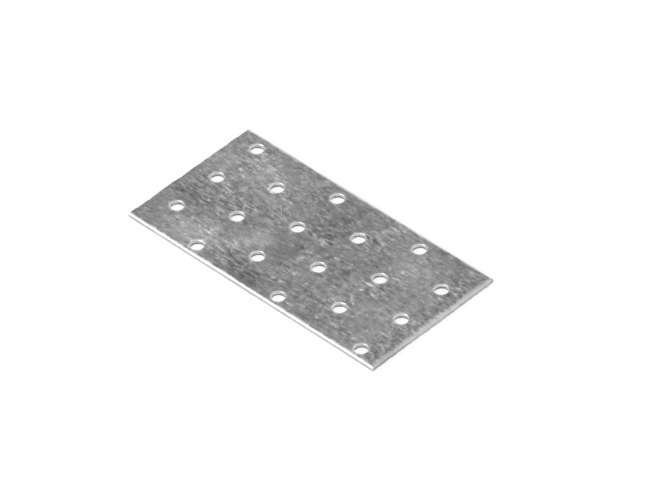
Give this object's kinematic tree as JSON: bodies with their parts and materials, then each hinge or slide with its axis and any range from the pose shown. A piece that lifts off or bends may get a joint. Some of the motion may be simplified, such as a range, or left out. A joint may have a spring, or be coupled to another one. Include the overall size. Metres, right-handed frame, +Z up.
{
  "type": "mending plate",
  "caption": "Flat rectangular mending plate of galvanised sheet steel, pierced with staggered rows of nail holes and left with plain sheared edges.",
  "frame": {"origin": "centre of the plate's bottom face", "axes": "+X along the plate's length, +Y across its width, +Z up through its thickness, out of the face that the punch entered"},
  "size_m": [0.12, 0.06, 0.002],
  "materials": {
    "galvanised_steel": "dull mottled zinc coat, with fine handling scratches and bright sheared edges"
  },
  "bodies": {
    "root": {"mending_plate": "galvanised_steel"}
  },
  "joints": []
}
